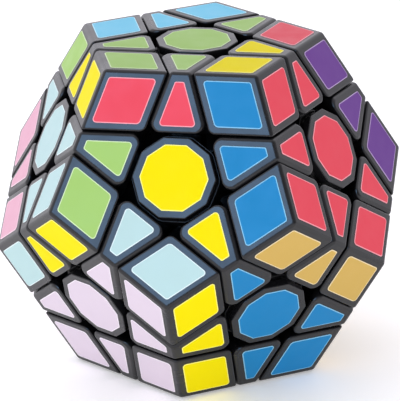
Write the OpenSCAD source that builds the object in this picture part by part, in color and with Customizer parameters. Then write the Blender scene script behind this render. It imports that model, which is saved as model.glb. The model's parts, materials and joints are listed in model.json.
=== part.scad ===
// Twelve-sided face-turning puzzle. The middle of the ball of pieces is at height face_r above
// the origin, and the puzzle stands on face "d". Every boundary between two layers is a surface
// of revolution about a face axis: a plane outside block_r, a cone between foot_outer_r and
// block_r, and a wider cone between foot_inner_r and foot_outer_r, where the locking feet are.

/* [Puzzle] */
// Length of one edge of the dodecahedron
edge_len = 36; // [35.8:0.1:36.4]
// Distance from the middle of a face to its cut lines, measured on the face
cut_line = 10; // [9.8:0.1:10.2]
// Gap between two neighbouring pieces
gap = 0.4; // [0.3:0.05:0.5]
// Wall thickness of the hollow outer blocks
wall = 1.5; // [1.2:0.1:1.8]

/* [Locking shells] */
// Radius at which the outer blocks end and their stalks begin
block_r = 36; // [35.8:0.1:36.4]
// Outer radius of the locking feet
foot_outer_r = 30; // [29.6:0.1:30.4]
// Inner radius of the locking feet
foot_inner_r = 24; // [23.6:0.1:24.4]
// Half-angle of the cone that bounds the feet of one layer
foot_angle = 50; // [49:0.5:51]

/* [Centres] */
// Distance from the middle of a cap to its ten corners
cap_r = 9.7; // [9.3:0.1:9.7]
// Thickness of a cap
cap_h = 2.2; // [2:0.1:2.6]
// Radius of the skirt that holds the feet of the edges down
skirt_r = 10.6; // [10.2:0.1:10.7]
// Outer radius of the hub below the skirt
hub_r = 5.2; // [5:0.1:5.3]
// Radius of the pocket for the spring and the screw head
pocket_r = 4; // [3.9:0.1:4.1]

/* [Core] */
// Radius of the ball in the middle
ball_r = 9; // [9:0.5:11]
// Radius of the twelve posts
post_r = 3.6; // [3.2:0.1:4]
// Distance from the middle to the end of a post
post_end = 21.7; // [21:0.1:21.7]

/* [Screws and springs] */
// Radius of a screw's shank
shank_r = 1.2; // [1:0.1:1.3]
// Radius of the washer head
washer_r = 3.6; // [3.2:0.1:3.7]
// Distance from the middle to the underside of the washer head
washer_z = 31.5; // [31:0.1:32]
// Radius of the spring wire
wire_r = 0.45; // [0.4:0.05:0.45]
// Number of turns in a spring
spring_turns = 9; // [9:1:11]

/* [Hidden] */
$fn = 96;
golden = (1 + sqrt(5)) / 2;
tilt = atan(2);
face_r = edge_len * golden ^ 2 / (2 * sqrt(3 - golden));
cut_d = face_r * cos(tilt) + cut_line * sin(tilt);
block_angle = acos(cut_d / block_r);
half_gap = gap / 2;
angle_gap = 0.8;
neck_inset = 0.4;
overlap = 1;
reach = 60;
post_start = 7.6;
screw_start = 12;
screw_head_r = 2.8;
screw_head_h = 1.7;
washer_h = 0.6;
socket_r = 1.3;
socket_depth = 1;
thread_clearance = 0.05;
hub_bottom = post_end + 0.3;
hub_bore_r = 1.6;
ledge_z = 24;
cap_seat_gap = 0.05;
plug_h = 1.4;
plug_clearance = 0.1;
spring_r = 2.7;
spring_seat_gap = 0.1;

// Faces: top, five round the top, five round the bottom, bottom
FACE = ["u", "f", "r", "br", "bl", "l", "dr", "dbr", "db", "dbl", "dl", "d"];
BOTTOM = len(FACE) - 1;

function polar(i) = i == 0 ? 0 : i <= 5 ? tilt : i < BOTTOM ? 180 - tilt : 180;
function azimuth(i) = i == 0 || i == BOTTOM ? -90 : i <= 5 ? -90 + 72 * (i - 1) : -54 + 72 * (i - 6);
function axis_of(i) = [
    sin(polar(i)) * cos(azimuth(i)),
    sin(polar(i)) * sin(azimuth(i)),
    cos(polar(i))
];
function touch(i, j) = i != j && axis_of(i) * axis_of(j) > 0.4;

// Direction of the middle of a piece, and its angle round the axis of face i
function middle_of(faces) = len(faces) == 1 ? axis_of(faces[0])
    : axis_of(faces[0]) + middle_of([for (n = [1:len(faces) - 1]) faces[n]]);
function turn_towards(i, way) = atan2(
    way * [-sin(azimuth(i)), cos(azimuth(i)), 0],
    way * [cos(polar(i)) * cos(azimuth(i)), cos(polar(i)) * sin(azimuth(i)), -sin(polar(i))]
);

EDGES = [for (i = [0:BOTTOM], j = [i + 1:1:BOTTOM]) if (touch(i, j)) [i, j]];
CORNERS = [
    for (e = EDGES, k = [e[1] + 1:1:BOTTOM]) if (touch(e[0], k) && touch(e[1], k)) [e[0], e[1], k]
];
function beside(e) = [for (k = [0:BOTTOM]) if (touch(e[0], k) && touch(e[1], k)) k];
function on_bottom(faces) = faces[len(faces) - 1] == BOTTOM;

// The five edges of the bottom face are the second solid of the centre that they turn with
FREE_EDGES = [for (e = EDGES) if (!on_bottom(e)) e];
function has_bottom_edge(i) = i != BOTTOM && touch(i, BOTTOM);

function edge_name(e) = str("edge_", FACE[e[0]], "_", FACE[e[1]]);
function corner_name(c) = str("corner_", FACE[c[0]], "_", FACE[c[1]], "_", FACE[c[2]]);
function centre_name(i) = str(
    "centre_", FACE[i], has_bottom_edge(i) ? str("_and_edge_", FACE[i], "_d") : ""
);

// Turns a shape that stands on +Z onto the axis of face i
module on_axis(i) {
    rotate([0, polar(i), azimuth(i)]) children();
}

module from_middle() {
    translate([0, 0, face_r]) children();
}

// Everything further out than distance h along the axis of face i
module beyond(i, h) {
    on_axis(i) translate([-reach, -reach, h]) cube([2 * reach, 2 * reach, reach]);
}

// Everything nearer in than distance h along the axis of face i
module within(i, h) {
    on_axis(i) translate([-reach, -reach, h - 2 * reach]) cube([2 * reach, 2 * reach, 2 * reach]);
}

// Cone round the axis of face i, with its seam turned away from direction way
module cone_about(i, angle, way) {
    on_axis(i) rotate(turn_towards(i, way) + 180)
        cylinder(h = block_r + 4, r1 = 0, r2 = (block_r + 4) * tan(angle));
}

// Sphere with its seam and poles away from direction way
module ball(radius, way) {
    rotate([0, acos(way[2] / norm(way)) + 90, atan2(way[1], way[0])]) sphere(radius);
}

// Part of the outer layer that lies in the layers of faces ins and in none of the faces outs.
// inset moves every side inwards.
module outer_block(ins, outs, inset) {
    way = middle_of(ins);
    difference() {
        intersection_for (i = ins) {
            intersection() {
                within(i, face_r - inset);
                beyond(i, cut_d + half_gap + inset);
                if (len(outs) > 0) {
                    intersection_for (k = outs) within(k, cut_d - half_gap - inset);
                }
            }
        }
        ball(block_r + inset, way);
    }
}

// Part of a shell that lies in the cones of faces ins and outside the cones of faces outs
module cone_cell(ins, outs, inner, outer, angle_in, angle_out) {
    way = middle_of(ins);
    difference() {
        intersection() {
            ball(outer, way);
            intersection_for (i = ins) cone_about(i, angle_in, way);
        }
        ball(inner, way);
        for (k = outs) cone_about(k, angle_out, way);
    }
}

// A hollow block, its stalk and its locking foot
module locked_piece(ins, outs) {
    foot_top = foot_outer_r - half_gap;
    difference() {
        outer_block(ins, outs, 0);
        outer_block(ins, outs, wall);
    }
    difference() {
        cone_cell(ins, outs, foot_outer_r + half_gap, block_r + overlap,
                  block_angle - angle_gap, block_angle + angle_gap);
        for (k = outs) beyond(k, cut_d - half_gap);
    }
    cone_cell(ins, outs, foot_top - overlap, foot_outer_r + half_gap + overlap,
              block_angle - angle_gap - neck_inset, foot_angle + angle_gap + neck_inset);
    cone_cell(ins, outs, foot_inner_r, foot_top, foot_angle - angle_gap, foot_angle + angle_gap);
}

module edge(e) {
    color("#1c1c20") from_middle() locked_piece(e, beside(e));
}

module corner(c) {
    color("#1c1c20") from_middle() locked_piece(c, []);
}

// Hub and skirt of a centre, open at the top for the screw and its spring
module centre_base() {
    base_top = face_r - cap_h - cap_seat_gap;
    difference() {
        union() {
            difference() {
                translate([0, 0, foot_inner_r]) cylinder(h = base_top - foot_inner_r, r = skirt_r);
                sphere(foot_outer_r + half_gap);
            }
            translate([0, 0, hub_bottom]) cylinder(h = base_top - hub_bottom, r = hub_r);
        }
        translate([0, 0, ledge_z]) cylinder(h = face_r, r = pocket_r);
        cylinder(h = face_r, r = hub_bore_r);
    }
}

// Ten-sided cap with a plug that closes the pocket
module centre_cap() {
    translate([0, 0, face_r - cap_h]) rotate(18) cylinder(h = cap_h, r = cap_r, $fn = 10);
    translate([0, 0, face_r - cap_h - plug_h])
        cylinder(h = plug_h + overlap, r = pocket_r - plug_clearance);
}

module centre(i) {
    color("#1c1c20") from_middle() on_axis(i) {
        centre_base();
        centre_cap();
    }
    if (has_bottom_edge(i)) edge([i, BOTTOM]);
}

// Ball with one drilled post on each face axis
module core() {
    color("#2b2b30") from_middle() difference() {
        union() {
            sphere(ball_r);
            for (i = [0:BOTTOM]) on_axis(i) translate([0, 0, post_start])
                cylinder(h = post_end - post_start, r = post_r);
        }
        for (i = [0:BOTTOM]) on_axis(i) translate([0, 0, screw_start])
            cylinder(h = post_end, r = shank_r + thread_clearance);
    }
}

module axle_screws() {
    color("silver") from_middle() for (i = [0:BOTTOM]) on_axis(i) difference() {
        union() {
            translate([0, 0, screw_start]) cylinder(h = washer_z - screw_start + washer_h, r = shank_r);
            translate([0, 0, washer_z]) cylinder(h = washer_h, r = washer_r);
            translate([0, 0, washer_z]) cylinder(h = washer_h + screw_head_h, r = screw_head_r);
        }
        translate([0, 0, washer_z + washer_h + screw_head_h - socket_depth])
            cylinder(h = 2 * socket_depth, r = socket_r, $fn = 6);
    }
}

// Close-wound springs between the ledge in each hub and the washer head
module tension_springs() {
    low = ledge_z + spring_seat_gap + wire_r;
    high = washer_z - wire_r - thread_clearance;
    pitch = (high - low) / (spring_turns - 1);
    color("gainsboro") from_middle() for (i = [0:BOTTOM]) on_axis(i) rotate_extrude()
        for (t = [0:spring_turns - 1]) translate([spring_r, low + t * pitch]) circle(wire_r, $fn = 24);
}

core();
axle_screws();
tension_springs();
for (i = [0:BOTTOM]) {
    centre(i);
}
for (e = FREE_EDGES) {
    edge(e);
}
for (c = CORNERS) {
    corner(c);
}
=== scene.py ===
# Twelve-sided face-turning puzzle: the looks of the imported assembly.
# The pieces stand round the middle of the puzzle, FACE_R above the floor. Each kind of black piece
# is shaped once, round the faces u, f and r, then turned into its places. Lengths are in
# millimetres, and a mesh goes to metres when its object is made.
import json
import math

import bmesh
import bpy
from mathutils import Matrix, Vector


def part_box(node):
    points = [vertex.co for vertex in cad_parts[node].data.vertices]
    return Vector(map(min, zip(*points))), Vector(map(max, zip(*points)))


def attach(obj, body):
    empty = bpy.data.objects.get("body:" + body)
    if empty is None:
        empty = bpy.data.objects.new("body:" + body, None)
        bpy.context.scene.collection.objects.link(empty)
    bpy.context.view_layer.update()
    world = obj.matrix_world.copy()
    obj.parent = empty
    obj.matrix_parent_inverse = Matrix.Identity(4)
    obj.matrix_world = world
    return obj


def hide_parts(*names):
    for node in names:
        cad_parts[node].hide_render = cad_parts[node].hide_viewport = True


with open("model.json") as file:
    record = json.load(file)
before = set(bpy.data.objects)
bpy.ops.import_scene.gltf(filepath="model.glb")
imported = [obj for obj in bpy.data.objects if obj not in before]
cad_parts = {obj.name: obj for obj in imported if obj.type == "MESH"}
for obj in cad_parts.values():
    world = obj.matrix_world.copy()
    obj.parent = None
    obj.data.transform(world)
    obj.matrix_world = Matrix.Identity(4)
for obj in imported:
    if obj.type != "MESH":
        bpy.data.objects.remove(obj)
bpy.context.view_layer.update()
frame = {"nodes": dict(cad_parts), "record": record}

MM = 0.001

# Layers, as in the CAD source
FACE_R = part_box("centre_u")[1].z / MM / 2
CUT_LINE = 10
GAP = 0.4
BLOCK_R = 36
BLOCK_UNDER = 0.5

# Stalks and locking feet. Angles are in degrees
FOOT_OUTER_R = 30
FOOT_INNER_R = 24
FOOT_ANGLE = 50
ANGLE_GAP = 0.8
NECK_INSET = 0.4
FOOT_ROUND = 0.5
FOOT_DRAWN_IN = 1
STALK_INTO_BLOCK = 0.15
STALK_TIP = 1
CELL_WIDEST = 40
CELL_HALVINGS = 24

# Centres. The cap is 0.2 mm wider than the CAD's, as in the photograph
CAP_R = 9.9
CAP_H = 2.2
PLUG_R = 3.9
PLUG_TAPER = 0.2
PLUG_H = 1.4
PLUG_OVERLAP = 1
SKIRT_R = 10.6
LIP_DROP = 0.5
GROOVE_R = 9.2
GROOVE_DROP = 1.4
CAP_SEAT_R = 8.4
TEN_SIDED_FROM_R = 7.4
SKIRT_CORNER = 0.985
HUB_R = 5.2
POCKET_R = 4
BORE_R = 1.6
HUB_BOTTOM = 22
LEDGE_Z = 24

# Springs
WASHER_Z = 31.5
SPRING_R = 2.7
WIRE_R = 0.45
SPRING_TURNS = 9
SPRING_FLAT_TURNS = 0.75
SPRING_LOW_GAP = 0.1
SPRING_HIGH_GAP = 0.05

# Rounding: how far each kind of edge is cut back, and the radius of the blocks' tips
RIDGE_CUT = 0.75
RIM_CUT = 0.75
CORNER_TIP_R = 2.3
EDGE_TIP_R = 1.8
CAP_RIM_CUT = 0.24
CAP_CORNER_CUT = 0.24
CAP_UNDER_CUT = 0.2

# Steps in each round shape
TIP_STEPS = 6
BEVEL_STEPS = 6
ARC_STEPS = 5
SKIRT_ARC_STEPS = 4
SKIRT_STEPS = 120
STALK_STEPS = 72
PLUG_STEPS = 64
SPRING_STEPS = 30
WIRE_SIDES = 10

# Stickers
STICKER_H = 0.12
STICKER_SEAT = 0.02
STICKER_SLOPE = 0.05
# Width of the pale band round each sticker's top, a painted highlight standing in for light
# catching the edge
HIGHLIGHT_LINE_W = 0.17

# Near and far sides of a sticker, measured from the middle of its face, and how far the sloping
# sides of an edge sticker stay inside the cut lines
CORNER_STICKER = (12.21, 23.07)
EDGE_STICKER = (12, 22.55)
EDGE_STICKER_SIDE = 2
CENTRE_STICKER_R = 8.15

# Radii of the stickers' corners
CORNER_TIP_ROUND = 1.2
CORNER_SIDE_ROUND = 0.8
EDGE_FAR_ROUND = 0.45
EDGE_NEAR_ROUND = 0.85
CENTRE_ROUND = 0.3
LEAST_ROUND = 0.05

# Two faces touch if the cosine of the angle between their axes is above the first number, and two
# directions in a face count as one if theirs is above the second
TOUCHING = 0.4
NEARLY_ALONG = 0.9
TILT = math.atan(2)
NAMES = ["u", "f", "r", "br", "bl", "l", "dr", "dbr", "db", "dbl", "dl", "d"]
MIDDLE = Vector((0, 0, FACE_R))


def face_axis(index):
    """Direction of the middle of a face, by its index in NAMES: the top, five faces round it, five
    round the bottom, the bottom."""
    if index in (0, 11):
        return Vector((0, 0, 1 if index == 0 else -1))
    polar = TILT if index <= 5 else math.pi - TILT
    azimuth = math.radians(-90 + 72 * (index - 1) if index <= 5 else -54 + 72 * (index - 6))
    across = math.sin(polar)
    return Vector((across * math.cos(azimuth), across * math.sin(azimuth), math.cos(polar)))


AXIS = {name: face_axis(index) for index, name in enumerate(NAMES)}
CUT_D = FACE_R * math.cos(TILT) + CUT_LINE * math.sin(TILT)
BLOCK_ANGLE = math.degrees(math.acos(CUT_D / BLOCK_R))
PLASTIC_R = FACE_R - STICKER_H


def touch(a, b):
    return a != b and AXIS[a].dot(AXIS[b]) > TOUCHING


def beside(*faces):
    """The faces that touch all of these faces."""
    return [k for k in NAMES if all(touch(k, a) for a in faces)]


EDGES = [(a, b) for n, a in enumerate(NAMES) for b in NAMES[n + 1:] if touch(a, b)]
CORNERS = [(a, b, c) for a, b in EDGES for c in beside(a, b) if NAMES.index(c) > NAMES.index(b)]


# Sticker inks, as sRGB shares, and the face that each has when the puzzle is solved

INKS = {
    "lime": (0.571, 0.716, 0.37),
    "yellow": (0.872, 0.81, 0.002),
    "red": (0.824, 0.242, 0.304),
    "purple": (0.37, 0.2, 0.505),
    "sky": (0.41, 0.75, 0.868),
    "ice": (0.655, 0.77, 0.773),
    "blue": (0.045, 0.452, 0.665),
    "gold": (0.73, 0.603, 0.308),
    "orange": (0.82, 0.42, 0.12),
    "pink": (0.815, 0.616, 0.69),
    "lilac": (0.795, 0.743, 0.795),
    "white": (0.81, 0.81, 0.79),
}
HOME = dict(zip(NAMES, INKS))
# The sticker edges' painted highlight: each ink mixed this far towards white
EDGE_HIGHLIGHT_WHITE = 0.45
PLAIN_GLOSS = 0.2
GLOSS = {"yellow": 0.04}

# The photographed pattern: from solved, these faces turned a fifth clockwise, in this order
TURNED = ("dl", "l", "u", "r")


def turned_names(face):
    """Where a clockwise fifth of a turn of a face takes the direction of every other face."""
    clockwise = Matrix.Rotation(-2 * math.pi / 5, 3, AXIS[face])
    return {
        name: max(NAMES, key=lambda other: AXIS[other].dot(clockwise @ AXIS[name]))
        for name in NAMES
    }


def sticker_inks():
    """Ink of every sticker after the turns, by its face and the other faces of its piece."""
    inks = {}
    for faces in [(name,) for name in NAMES] + EDGES + CORNERS:
        for face in faces:
            inks[face, frozenset(faces) - {face}] = HOME[face]
    for layer in TURNED:
        goes_to = turned_names(layer)
        inks.update({
            (goes_to[face], frozenset(goes_to[k] for k in others)): ink
            for (face, others), ink in inks.items() if layer == face or layer in others
        })
    return inks


STICKER_INK = sticker_inks()


# Materials

def linear(srgb):
    return tuple(c / 12.92 if c <= 0.04045 else ((c + 0.055) / 1.055) ** 2.4 for c in srgb)


def new_material(name, colour, **sockets):
    """A Principled material whose even values sit on the shader's own sockets."""
    material = bpy.data.materials.new(name)
    material.use_nodes = True
    shader = material.node_tree.nodes["Principled BSDF"]
    shader.inputs["Base Color"].default_value = (*colour, 1)
    for socket, value in sockets.items():
        shader.inputs[socket.replace("_", " ")].default_value = value
    return material


def add_noise(material, scale, detail):
    """Noise that stays with the piece. Scale is in features for each metre."""
    nodes, links = material.node_tree.nodes, material.node_tree.links
    place = nodes.new("ShaderNodeTexCoord")
    noise = nodes.new("ShaderNodeTexNoise")
    noise.inputs["Scale"].default_value = scale
    noise.inputs["Detail"].default_value = detail
    links.new(place.outputs["Object"], noise.inputs["Vector"])
    return noise.outputs["Fac"]


def vary_roughness(material, low, high, scale, detail=4):
    """Roughness that wanders between two values, as on handled plastic."""
    nodes, links = material.node_tree.nodes, material.node_tree.links
    spread = nodes.new("ShaderNodeMapRange")
    spread.inputs["From Min"].default_value = 0.3
    spread.inputs["From Max"].default_value = 0.7
    spread.inputs["To Min"].default_value = low
    spread.inputs["To Max"].default_value = high
    links.new(add_noise(material, scale, detail), spread.inputs["Value"])
    links.new(spread.outputs["Result"], nodes["Principled BSDF"].inputs["Roughness"])


def add_bump(material, height, scale, detail=2):
    """Fine relief, height in millimetres."""
    nodes, links = material.node_tree.nodes, material.node_tree.links
    bump = nodes.new("ShaderNodeBump")
    bump.inputs["Strength"].default_value = 1
    bump.inputs["Distance"].default_value = height * MM
    links.new(add_noise(material, scale, detail), bump.inputs["Height"])
    links.new(bump.outputs["Normal"], nodes["Principled BSDF"].inputs["Normal"])


def black_plastic(name, relief):
    """Glossy black. relief is the height of its moulded grain in millimetres, or 0 for none."""
    material = new_material(name, (0.007, 0.007, 0.008), Specular_IOR_Level=0.43)
    vary_roughness(material, 0.24, 0.36, 160)
    if relief:
        add_bump(material, relief, 900)
    return material


def core_plastic():
    material = new_material("core_plastic", (0.03, 0.03, 0.034))
    vary_roughness(material, 0.4, 0.55, 220)
    return material


def screw_steel():
    material = new_material("screw_steel", (0.62, 0.61, 0.59), Metallic=1)
    vary_roughness(material, 0.18, 0.34, 700)
    return material


def spring_steel():
    material = new_material("spring_steel", (0.72, 0.72, 0.71), Metallic=1)
    vary_roughness(material, 0.14, 0.28, 900)
    return material


def sticker_vinyl(name, srgb):
    gloss = GLOSS.get(name, PLAIN_GLOSS)
    material = new_material("sticker_" + name, linear(srgb), Specular_IOR_Level=gloss)
    vary_roughness(material, 0.42, 0.56, 240)
    return material


def sticker_edge_highlight(name, srgb):
    """Painted highlight: the pale colour of a sticker's sides and the band round its top, standing
    in for light catching the edge.
    """
    highlight = tuple(c + (1 - c) * EDGE_HIGHLIGHT_WHITE for c in srgb)
    material = new_material("sticker_edge_highlight_" + name, linear(highlight), Specular_IOR_Level=0.35)
    vary_roughness(material, 0.42, 0.56, 240)
    return material


BLOCK_BLACK = black_plastic("block_black", 0.01)
CENTRE_BLACK = black_plastic("centre_black", 0)
VINYL = {name: sticker_vinyl(name, srgb) for name, srgb in INKS.items()}
# Painted highlight colours for the stickers' edges, one for each ink
EDGE_HIGHLIGHT = {name: sticker_edge_highlight(name, srgb) for name, srgb in INKS.items()}


# Shaping

def solid_between(planes, size=120):
    """The convex body behind every plane of a list of (outward normal, distance)."""
    body = bmesh.new()
    bmesh.ops.create_cube(body, size=size)
    for normal, distance in planes:
        everything = body.verts[:] + body.edges[:] + body.faces[:]
        cut = bmesh.ops.bisect_plane(
            body, geom=everything, plane_co=normal * distance, plane_no=normal, clear_outer=True
        )
        rim = [part for part in cut["geom_cut"] if isinstance(part, bmesh.types.BMEdge)]
        bmesh.ops.holes_fill(body, edges=rim)
    bmesh.ops.remove_doubles(body, verts=body.verts[:], dist=0.001)
    bmesh.ops.recalc_face_normals(body, faces=body.faces[:])
    body.normal_update()
    return body


def round_planes(first, second, radius):
    """Planes that round off the edge where two planes, each (outward normal, distance), meet."""
    turned = first[0].angle(second[0])
    spin = first[0].cross(second[0]).normalized()
    shared = first[0].dot(second[0])
    near, far = first[1] - radius, second[1] - radius
    share = 1 / (1 - shared ** 2)
    middle = first[0] * (near - shared * far) * share + second[0] * (far - shared * near) * share
    planes = []
    for step in range(1, TIP_STEPS):
        normal = Matrix.Rotation(turned * step / TIP_STEPS, 3, spin) @ first[0]
        planes.append((normal, normal.dot(middle) + radius))
    return planes


def kind_of(face, kinds):
    """The kind of plane that a face of a body lies on."""
    return max(kinds, key=lambda kind: max(face.normal.dot(normal) for normal in kinds[kind]))


def mark_bevels(body, kinds, cuts):
    """Gives each edge between two kinds of plane its share of the widest cut."""
    weight = body.edges.layers.float.new("bevel_weight_edge")
    widest = max(cuts.values())
    for edge in body.edges:
        pair = tuple(sorted(kind_of(face, kinds) for face in edge.link_faces))
        edge[weight] = cuts.get(pair, 0) / widest
    return widest


def mesh_from(body, name):
    mesh = bpy.data.meshes.new(name)
    body.to_mesh(mesh)
    body.free()
    return mesh


def temporary(mesh):
    made = bpy.data.objects.new(mesh.name, mesh)
    bpy.context.scene.collection.objects.link(made)
    return made


def finished(body, name, width=0, joined=None):
    """A mesh of the body with its marked edges rounded, fused with the body `joined`."""
    made = temporary(mesh_from(body, name))
    made.data.shade_smooth()
    if width:
        bevel = made.modifiers.new("bevel", "BEVEL")
        bevel.limit_method = "WEIGHT"
        bevel.width = width
        bevel.segments = BEVEL_STEPS
        bevel.use_clamp_overlap = False
    helper = temporary(mesh_from(joined, name + "_inner")) if joined else None
    if helper:
        helper.data.shade_smooth()
        union = made.modifiers.new("union", "BOOLEAN")
        union.operation = "UNION"
        union.solver = "EXACT"
        union.object = helper
    crease = made.modifiers.new("normals", "WEIGHTED_NORMAL")
    crease.mode = "FACE_AREA"
    crease.weight = 50
    crease.keep_sharp = True
    graph = bpy.context.evaluated_depsgraph_get()
    mesh = bpy.data.meshes.new_from_object(made.evaluated_get(graph))
    mesh.name = name
    for spent in filter(None, (made, helper)):
        bpy.data.objects.remove(spent)
    return mesh


def ten_sided(radius, angle):
    """A radius drawn in at the middle of each of ten flats, the first of them at angle 0."""
    off = (angle + math.pi / 10) % (math.pi / 5) - math.pi / 10
    return radius * min(math.cos(math.pi / 10) / math.cos(off), SKIRT_CORNER)


def lathe(outline, steps, start):
    """A closed ring of (radius, height) points turned about +Z, ten-sided where it is wide."""
    body = bmesh.new()
    rings = []
    for step in range(steps):
        angle = 2 * math.pi * step / steps
        ring = []
        for radius, height in outline:
            if radius > TEN_SIDED_FROM_R:
                radius = ten_sided(radius, angle)
            ring.append(body.verts.new((
                radius * math.cos(start + angle), radius * math.sin(start + angle), height
            )))
        rings.append(ring)
    for n, ring in enumerate(rings):
        after = rings[(n + 1) % steps]
        for m in range(len(outline)):
            beyond = (m + 1) % len(outline)
            body.faces.new((ring[m], after[m], after[beyond], ring[beyond]))
    bmesh.ops.recalc_face_normals(body, faces=body.faces[:])
    return body


def rounded(corners, radii, steps=ARC_STEPS):
    """The outline through 2-D corners, each rounded by its own radius."""
    outline = []
    for n, corner in enumerate(corners):
        back = (corners[n - 1] - corner).normalized()
        ahead = (corners[(n + 1) % len(corners)] - corner).normalized()
        half = back.angle(ahead) / 2
        centre = corner + (back + ahead).normalized() * radii[n] / math.sin(half)
        start = corner + back * radii[n] / math.tan(half) - centre
        sweep = (math.pi - 2 * half) * (1 if back.cross(ahead) < 0 else -1)
        for step in range(steps + 1):
            outline.append(centre + Matrix.Rotation(sweep * step / steps, 2) @ start)
    return outline


def meeting(lines):
    """Corners where each line of a list of (normal, distance) meets the line before it."""
    corners = []
    for n, (normal, distance) in enumerate(lines):
        before, reach = lines[n - 1]
        corners.append(Matrix((before, normal)).inverted() @ Vector((reach, distance)))
    return corners


# Black pieces

def cell_edge(way, across, round_it, inside, outside):
    """How far from `way` a cell round it ends, at an angle `round_it` from `across`, and which way
    that is. inside and outside list (axis, half-angle) of the cones the cell is in and out of."""
    side = Matrix.Rotation(round_it, 3, way) @ across
    near, far = 0, math.radians(CELL_WIDEST)
    for _ in range(CELL_HALVINGS):
        angle = (near + far) / 2
        probe = way * math.cos(angle) + side * math.sin(angle)
        kept = all(probe.angle(axis) < half for axis, half in inside)
        kept = kept and all(probe.angle(axis) > half for axis, half in outside)
        near, far = (angle, far) if kept else (near, angle)
    return near, side


def stalk_and_foot(ins, outs):
    """The stalk that holds a block and the foot that locks it under its neighbours."""
    steps = STALK_STEPS
    way = sum((AXIS[k] for k in ins), Vector()).normalized()
    across = way.orthogonal().normalized()
    block, foot, gap, neck = BLOCK_ANGLE, FOOT_ANGLE, ANGLE_GAP, NECK_INSET
    half_gap, soft, drawn = GAP / 2, FOOT_ROUND, math.radians(FOOT_DRAWN_IN)
    foot_top = FOOT_OUTER_R - half_gap
    stalk_bottom = FOOT_OUTER_R + half_gap
    # Radius, half-angle of the cones it is in, of the cones it is out of, and how far drawn in
    levels = [
        (FOOT_INNER_R, foot - gap, foot + gap, drawn),
        (FOOT_INNER_R + soft, foot - gap, foot + gap, 0),
        (foot_top - soft, foot - gap, foot + gap, 0),
        (foot_top, foot - gap, foot + gap, drawn),
        (foot_top, block - gap - neck, foot + gap + neck, 0),
        (stalk_bottom, block - gap - neck, foot + gap + neck, 0),
        (stalk_bottom + soft, block - gap, block + gap, 0),
        (BLOCK_R + STALK_INTO_BLOCK, block - gap, block + gap, 0),
    ]
    body = bmesh.new()
    rings = []
    for radius, angle_in, angle_out, drawn_in in levels:
        ring = []
        for step in range(steps):
            angle, side = cell_edge(
                way, across, 2 * math.pi * step / steps,
                [(AXIS[k], math.radians(angle_in)) for k in ins],
                [(AXIS[k], math.radians(angle_out)) for k in outs],
            )
            angle -= drawn_in
            ring.append(body.verts.new((way * math.cos(angle) + side * math.sin(angle)) * radius))
        rings.append(ring)
    for ring, above in zip(rings, rings[1:]):
        for n in range(steps):
            body.faces.new((ring[n - 1], ring[n], above[n], above[n - 1]))
    for ring, radius in ((rings[0], FOOT_INNER_R), (rings[-1], BLOCK_R + STALK_TIP)):
        tip = body.verts.new(way * radius)
        for n in range(steps):
            body.faces.new((ring[n - 1], ring[n], tip))
    bmesh.ops.recalc_face_normals(body, faces=body.faces[:])
    return body


def corner_mesh():
    ins = ("u", "f", "r")
    tops = [(AXIS[k], PLASTIC_R) for k in ins]
    walls = [(-AXIS[k], -CUT_D - GAP / 2) for k in ins]
    for n in range(3):
        walls += round_planes(walls[n], walls[(n + 1) % 3], CORNER_TIP_R)
    kinds = {"top": [normal for normal, _ in tops], "cut": [normal for normal, _ in walls]}
    body = solid_between(tops + walls)
    cuts = {("top", "top"): RIDGE_CUT, ("cut", "top"): RIM_CUT}
    width = mark_bevels(body, kinds, cuts)
    return finished(body, "corner_block", width, stalk_and_foot(ins, ()))


def edge_mesh():
    ins = ("u", "f")
    outs = beside(*ins)
    way = (AXIS["u"] + AXIS["f"]).normalized()
    tops = [(AXIS[k], PLASTIC_R) for k in ins]
    walls = [(-AXIS[k], -CUT_D - GAP / 2) for k in ins]
    sides = [(AXIS[k], CUT_D - GAP / 2) for k in outs]
    tips = []
    for wall in walls:
        for side in sides:
            tips += round_planes(wall, side, EDGE_TIP_R)
    kinds = {
        "top": [normal for normal, _ in tops],
        "cut": [normal for normal, _ in walls + sides + tips],
        "under": [-way],
    }
    body = solid_between(tops + walls + sides + tips + [(-way, -BLOCK_R + BLOCK_UNDER)])
    cuts = {("top", "top"): RIDGE_CUT, ("cut", "top"): RIM_CUT}
    width = mark_bevels(body, kinds, cuts)
    return finished(body, "edge_block", width, stalk_and_foot(ins, outs))


def centre_base_mesh():
    """Hub and skirt of the centre on face u."""
    top = FACE_R - CAP_H
    under = math.sqrt((FOOT_OUTER_R + GAP / 2) ** 2 - SKIRT_R ** 2)
    inner = math.sqrt((FOOT_OUTER_R + GAP / 2) ** 2 - HUB_R ** 2)
    # Radius, height, and how far that corner is rounded
    corners = [
        (BORE_R, HUB_BOTTOM, 0.15),
        (HUB_R, HUB_BOTTOM, 0.5),
        (HUB_R, inner, 0.4),
        (SKIRT_R, under, 0.25),
        (SKIRT_R, top - LIP_DROP, 0.16),
        (GROOVE_R, top - GROOVE_DROP, 0.3),
        (CAP_SEAT_R, top, 0.1),
        (POCKET_R, top, 0.2),
        (POCKET_R, LEDGE_Z, 0.3),
        (BORE_R, LEDGE_Z, 0.15),
    ]
    places = [Vector((radius, height)) for radius, height, _ in corners]
    outline = rounded(places, [rounding for _, _, rounding in corners], SKIRT_ARC_STEPS)
    start = math.atan2(AXIS["f"].y, AXIS["f"].x)
    return finished(lathe([tuple(p) for p in outline], SKIRT_STEPS, start), "centre_base")


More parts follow.
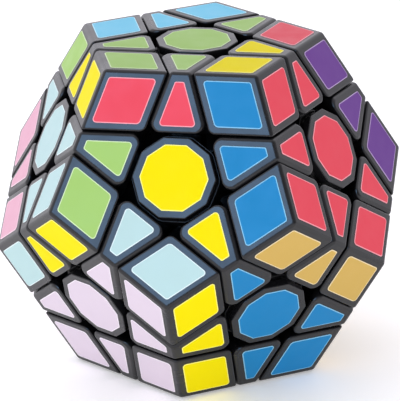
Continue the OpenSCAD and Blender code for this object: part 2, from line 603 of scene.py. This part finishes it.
def centre_cap_mesh():
    """Ten-sided cap of face u, one flat towards face f, with the plug that closes the pocket."""
    start = math.atan2(AXIS["f"].y, AXIS["f"].x)
    angles = [start + math.pi * n / 5 for n in range(10)]
    flats = [Vector((math.cos(angle), math.sin(angle), 0)) for angle in angles]
    up, down = Vector((0, 0, 1)), Vector((0, 0, -1))
    inradius = CAP_R * math.cos(math.pi / 10)
    ends = [(up, PLASTIC_R), (down, -FACE_R + CAP_H)]
    body = solid_between([(flat, inradius) for flat in flats] + ends)
    cuts = {
        ("flat", "up"): CAP_RIM_CUT,
        ("flat", "flat"): CAP_CORNER_CUT,
        ("down", "flat"): CAP_UNDER_CUT,
    }
    width = mark_bevels(body, {"flat": flats, "up": [up], "down": [down]}, cuts)
    low = FACE_R - CAP_H - PLUG_H
    plug = bmesh.new()
    bmesh.ops.create_cone(
        plug, cap_ends=True, segments=PLUG_STEPS, radius1=PLUG_R - PLUG_TAPER, radius2=PLUG_R,
        depth=PLUG_H + PLUG_OVERLAP,
        matrix=Matrix.Translation((0, 0, low + (PLUG_H + PLUG_OVERLAP) / 2)),
    )
    return finished(body, "centre_cap", width, plug)


# Placing

def turn(a, b):
    """The turn that takes face u to face a, and face f to its neighbour b."""
    def basis(first, second):
        third = first.cross(second)
        return Matrix((first, second, third)).transposed()
    return (basis(AXIS[a], AXIS[b]) @ basis(AXIS["u"], AXIS["f"]).inverted()).to_4x4()


def place(mesh, name, way, body, node, materials):
    """A copy of a mesh, turned into place, riding on its body and standing for its CAD node."""
    piece_mesh = mesh.copy()
    piece_mesh.name = name
    piece_mesh.transform(Matrix.Scale(MM, 4) @ Matrix.Translation(MIDDLE) @ way)
    for material in materials:
        piece_mesh.materials.append(material)
    piece = bpy.data.objects.new(name, piece_mesh)
    bpy.context.scene.collection.objects.link(piece)
    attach(piece, body)
    if node:
        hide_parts(node)
    return piece


BODY_OF = {
    node: body for body, nodes in frame["record"]["behaviour"]["bodies"].items() for node in nodes
}


def node_of(start, *faces):
    """The CAD node that holds the piece of this kind on these faces."""
    name = "_".join((start, *faces))
    return next(node for node in BODY_OF if node == name or node.endswith("_and_" + name)
                or node.startswith(name + "_and_"))


# Stickers

def in_plane(face, other):
    """Direction in the plane of a face towards a neighbouring face."""
    return (AXIS[other] - AXIS[face] * AXIS[other].dot(AXIS[face])).normalized()


def add_sticker(body, face, lines, radii, slot_index):
    """A thin plate on a face, inside lines of (direction, distance), with a painted highlight on
    its sides and round its top as a pale border.
    """
    first = lines[0][0]
    second = AXIS[face].cross(first)

    def ring(inset, height):
        flat = [(Vector((way.dot(first), way.dot(second))), reach - inset) for way, reach in lines]
        outline = rounded(meeting(flat), [max(radius - inset, LEAST_ROUND) for radius in radii])
        return [body.verts.new(AXIS[face] * height + first * p.x + second * p.y) for p in outline]

    rings = [
        ring(0, PLASTIC_R - STICKER_SEAT), ring(0, FACE_R - STICKER_SLOPE),
        ring(STICKER_SLOPE, FACE_R), ring(STICKER_SLOPE + HIGHLIGHT_LINE_W, FACE_R),
    ]
    bottom, top = body.faces.new(rings[0]), body.faces.new(rings[-1])
    made = [bottom, top]
    for lower, upper in zip(rings, rings[1:]):
        for n in range(len(lower)):
            made.append(body.faces.new((lower[n - 1], lower[n], upper[n], upper[n - 1])))
    # All faces but the top, the border band included, take the painted edge highlight
    for side in made:
        side.material_index = slot_index if side == top else slot_index + 1
    bmesh.ops.recalc_face_normals(body, faces=made)


def round_order(face, lines):
    """Sorts lines by their direction round the middle of the face."""
    first = lines[0][0]
    second = AXIS[face].cross(first)
    return sorted(lines, key=lambda line: math.atan2(line[0].dot(second), line[0].dot(first)))


def corner_sticker(body, face, others, slot_index):
    near, far = CORNER_STICKER
    ways = [in_plane(face, k) for k in others]
    lines = round_order(face, [(way, far) for way in ways] + [(-way, -near) for way in ways])
    middle = (ways[0] + ways[1]).normalized()
    radii = []
    for n, (way, _) in enumerate(lines):
        inward = (way + lines[n - 1][0]).normalized().dot(middle) < -NEARLY_ALONG
        radii.append(CORNER_TIP_ROUND if inward else CORNER_SIDE_ROUND)
    add_sticker(body, face, lines, radii, slot_index)


def edge_sticker(body, face, others, slot_index):
    near, far = EDGE_STICKER
    ahead = in_plane(face, others[0])
    sides = [in_plane(face, k) for k in beside(face, others[0])]
    lines = [(ahead, far), (-ahead, -near)]
    lines += [(way, CUT_LINE - EDGE_STICKER_SIDE) for way in sides]
    lines = round_order(face, lines)
    radii = []
    for n, (way, _) in enumerate(lines):
        at_far_end = max(way.dot(ahead), lines[n - 1][0].dot(ahead)) > NEARLY_ALONG
        radii.append(EDGE_FAR_ROUND if at_far_end else EDGE_NEAR_ROUND)
    add_sticker(body, face, lines, radii, slot_index)


def centre_sticker(body, face, others, slot_index):
    first = in_plane(face, beside(face)[0])
    inradius = CENTRE_STICKER_R * math.cos(math.pi / 10)
    turns = [Matrix.Rotation(math.pi * n / 5, 3, AXIS[face]) for n in range(10)]
    lines = [(turned @ first, inradius) for turned in turns]
    add_sticker(body, face, lines, [CENTRE_ROUND] * len(lines), slot_index)


def stickers(name, faces, draw, body_name):
    """The stickers of one piece, one for each of its faces."""
    body = bmesh.new()
    materials = []
    for n, face in enumerate(faces):
        others = [k for k in faces if k != face]
        ink = STICKER_INK[face, frozenset(others)]
        draw(body, face, others, 2 * n)
        # The ink, then the painted highlight of the sticker's edge
        materials += [VINYL[ink], EDGE_HIGHLIGHT[ink]]
    place(mesh_from(body, name), name, Matrix.Identity(4), body_name, None, materials)


# Springs

def spring_mesh():
    """One close-wound spring on face u's axis, its ends flattened."""
    low = LEDGE_Z + SPRING_LOW_GAP + WIRE_R
    high = WASHER_Z - SPRING_HIGH_GAP - WIRE_R
    rising = SPRING_TURNS - 2 * SPRING_FLAT_TURNS
    steps, sides = SPRING_STEPS, WIRE_SIDES
    body = bmesh.new()
    rings = []
    for step in range(SPRING_TURNS * steps + 1):
        turns = step / steps
        share = min(max((turns - SPRING_FLAT_TURNS) / rising, 0), 1)
        angle = 2 * math.pi * turns
        out = Vector((math.cos(angle), math.sin(angle), 0))
        middle = out * SPRING_R + Vector((0, 0, low + (high - low) * share))
        rings.append([
            body.verts.new(middle + (out * math.cos(t) + Vector((0, 0, 1)) * math.sin(t)) * WIRE_R)
            for t in (2 * math.pi * n / sides for n in range(sides))
        ])
    for ring, after in zip(rings, rings[1:]):
        for n in range(sides):
            body.faces.new((ring[n - 1], ring[n], after[n], after[n - 1]))
    body.faces.new(rings[0])
    body.faces.new(rings[-1])
    bmesh.ops.recalc_face_normals(body, faces=body.faces[:])
    mesh = mesh_from(body, "spring")
    mesh.shade_smooth()
    return mesh


def springs():
    """The twelve springs, as the CAD has them: one group."""
    body = bmesh.new()
    one = spring_mesh()
    for face in NAMES:
        copy = one.copy()
        copy.transform(turn(face, beside(face)[0]))
        body.from_mesh(copy)
    mesh = mesh_from(body, "springs")
    made = place(mesh, "coil_springs", Matrix.Identity(4), "core", None, [spring_steel()])
    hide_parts("tension_springs")


def repaint(node, material):
    """Gives a CAD node its finished material."""
    piece = frame["nodes"][node]
    piece.data.materials.clear()
    piece.data.materials.append(material)


def build_puzzle():
    block = corner_mesh()
    up_corner = AXIS["u"].cross(AXIS["f"]).dot(AXIS["r"])
    for faces in CORNERS:
        a, b, c = faces
        if AXIS[a].cross(AXIS[b]).dot(AXIS[c]) * up_corner < 0:
            a, b = b, a
        node = node_of("corner", *faces)
        tail = "_".join(faces)
        place(block, "corner_block_" + tail, turn(a, b), BODY_OF[node], node, [BLOCK_BLACK])
        stickers("corner_stickers_" + tail, faces, corner_sticker, BODY_OF[node])
    block = edge_mesh()
    for faces in EDGES:
        node = node_of("edge", *faces)
        tail = "_".join(faces)
        place(block, "edge_block_" + tail, turn(*faces), BODY_OF[node], node, [BLOCK_BLACK])
        stickers("edge_stickers_" + tail, faces, edge_sticker, BODY_OF[node])
    base, cap = centre_base_mesh(), centre_cap_mesh()
    for face in NAMES:
        node = node_of("centre", face)
        way = turn(face, beside(face)[0])
        place(base, "centre_hub_" + face, way, BODY_OF[node], node, [CENTRE_BLACK])
        place(cap, "centre_cap_" + face, way, BODY_OF[node], node, [CENTRE_BLACK])
        stickers("centre_sticker_" + face, [face], centre_sticker, BODY_OF[node])
    springs()
    repaint("core", core_plastic())
    repaint("axle_screws", screw_steel())


# Stage

def outward(azimuth, elevation):
    """Direction from the puzzle, with azimuth 0 straight in front and growing to the right."""
    level = math.cos(elevation)
    return Vector((
        math.sin(azimuth) * level, -math.cos(azimuth) * level, math.sin(elevation)
    ))


def camera():
    """The photograph's angle: a long lens a metre away, above and to the right of the front."""
    azimuth, elevation, roll = math.radians(9.34), math.radians(20.44), math.radians(-0.82)
    distance = 1033 * MM
    data = bpy.data.cameras.new("camera")
    data.sensor_width = 36
    data.lens = 384.1
    data.clip_start, data.clip_end = 0.1, 20
    made = bpy.data.objects.new("camera", data)
    bpy.context.scene.collection.objects.link(made)
    back = outward(azimuth, elevation)
    made.rotation_mode = "QUATERNION"
    made.location = MIDDLE * MM + back * distance
    look = (-back).to_track_quat("-Z", "Y")
    made.rotation_quaternion = look @ Matrix.Rotation(roll, 3, "Z").to_quaternion()
    data.shift_x = 0.002
    data.shift_y = -0.0095
    bpy.context.scene.camera = made


# Soft boxes: azimuth and elevation in degrees, distance and size in metres, watts, colour
LAMPS = {
    "sky_panel": (-10, 33, 0.9, (0.6, 0.5), 6.2, (0.36, 0.62, 1)),
    "low_front": (0, 8, 1.1, (0.7, 0.3), 2, (1, 1, 1)),
    "low_right": (48, 8, 1.1, (0.7, 0.3), 5, (1, 1, 1)),
    "low_left": (-42, 8, 1.1, (0.7, 0.3), 3, (1, 1, 1)),
}
# Lamps that show only in reflections, and lamps that show in none
SHEEN_ONLY = ["sky_panel"]
FILL_ONLY = ["low_front", "low_right", "low_left"]

# The tent's strength where it is dimmest and brightest, and where the dimmest side is, in degrees
TENT_DIM = 0.1
TENT_BRIGHT = 1.95
TENT_COLOUR = (0.94, 0.925, 1)
TENT_DIM_AZIMUTH = 35

# Light the floor gives off itself, so that it stays pale in front of the puzzle
FLOOR_GLOW = 0.24


def soft_box(name, azimuth, elevation, distance, size, watts, colour):
    """A rectangular lamp aimed at the middle of the puzzle."""
    data = bpy.data.lights.new(name, "AREA")
    data.shape = "RECTANGLE"
    data.size, data.size_y = size
    data.energy = watts
    data.color = colour
    made = bpy.data.objects.new(name, data)
    bpy.context.scene.collection.objects.link(made)
    out = outward(math.radians(azimuth), math.radians(elevation))
    made.location = MIDDLE * MM + out * distance
    made.rotation_mode = "QUATERNION"
    made.rotation_quaternion = (-out).to_track_quat("-Z", "Y")
    made.visible_diffuse = name not in SHEEN_ONLY
    made.visible_glossy = name not in FILL_ONLY


def floor():
    body = bmesh.new()
    bmesh.ops.create_grid(body, x_segments=1, y_segments=1, size=6)
    made = bpy.data.objects.new("floor", mesh_from(body, "floor"))
    bpy.context.scene.collection.objects.link(made)
    material = new_material(
        "floor_paper", (0.95, 0.95, 0.95), Specular_IOR_Level=0,
        Emission_Color=(1, 1, 1, 1), Emission_Strength=FLOOR_GLOW,
    )
    vary_roughness(material, 0.75, 0.9, 30)
    made.data.materials.append(material)


def tent():
    """White cloth all round: dim in front on the right, bright behind on the left."""
    world = bpy.data.worlds.new("tent")
    world.use_nodes = True
    nodes, links = world.node_tree.nodes, world.node_tree.links
    direction = nodes.new("ShaderNodeTexCoord")
    along = nodes.new("ShaderNodeVectorMath")
    along.operation = "DOT_PRODUCT"
    dim = math.radians(TENT_DIM_AZIMUTH)
    along.inputs[1].default_value = (math.sin(dim), -math.cos(dim), 0)
    spread = nodes.new("ShaderNodeMapRange")
    spread.inputs["From Min"].default_value = -1
    spread.inputs["From Max"].default_value = 1
    spread.inputs["To Min"].default_value = TENT_BRIGHT
    spread.inputs["To Max"].default_value = TENT_DIM
    links.new(direction.outputs["Generated"], along.inputs[0])
    links.new(along.outputs["Value"], spread.inputs["Value"])
    links.new(spread.outputs["Result"], nodes["Background"].inputs["Strength"])
    nodes["Background"].inputs["Color"].default_value = (*TENT_COLOUR, 1)
    bpy.context.scene.world = world


def studio():
    tent()
    for name, facts in LAMPS.items():
        soft_box(name, *facts)
    bpy.context.scene.view_settings.view_transform = "Standard"


camera()
studio()
floor()
build_puzzle()
